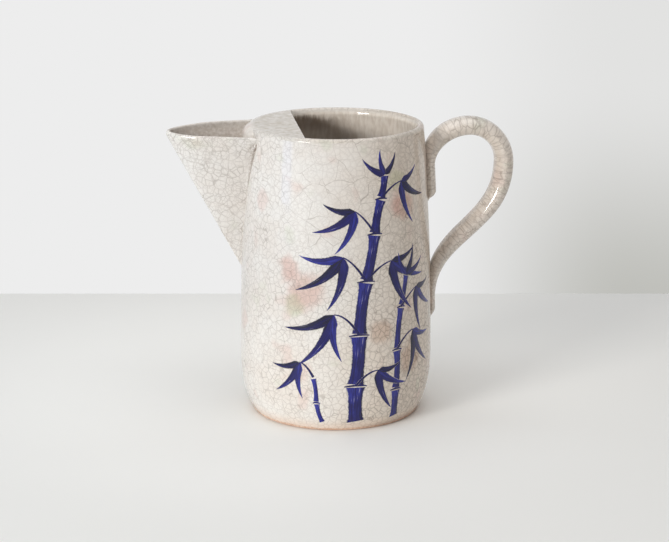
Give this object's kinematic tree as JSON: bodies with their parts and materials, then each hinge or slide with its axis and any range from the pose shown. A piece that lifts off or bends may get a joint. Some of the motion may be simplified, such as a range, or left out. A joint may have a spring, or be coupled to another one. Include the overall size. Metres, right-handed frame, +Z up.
{
  "type": "ewer",
  "caption": "Tall round stoneware ewer with a wide scoop spout, an ice guard across the front of its mouth and a pulled strap handle, for pouring chilled drinks.",
  "frame": {"origin": "centre of the foot, on the surface the ewer stands on", "axes": "+Z up, spout along -X, handle along +X"},
  "size_m": [0.196, 0.109, 0.167],
  "materials": {
    "body_glaze": "glossy clear crackle glaze over a pale slip",
    "spout_glaze": "glossy clear crackle glaze over a pale slip",
    "guard_glaze": "glossy clear crackle glaze over a pale slip",
    "handle_glaze": "glossy crackle glaze, more deeply stained than the body",
    "bare_clay": "bare fired stoneware, matt",
    "brush_blue": "cobalt brushwork under a glossy glaze"
  },
  "bodies": {
    "root": {"body_wall": "body_glaze", "floor_slab": "bare_clay", "floor_seam_coil": "body_glaze", "spout": "spout_glaze", "ice_guard": "guard_glaze", "guard_seam_coil": "body_glaze", "handle": "handle_glaze"}
  },
  "joints": []
}
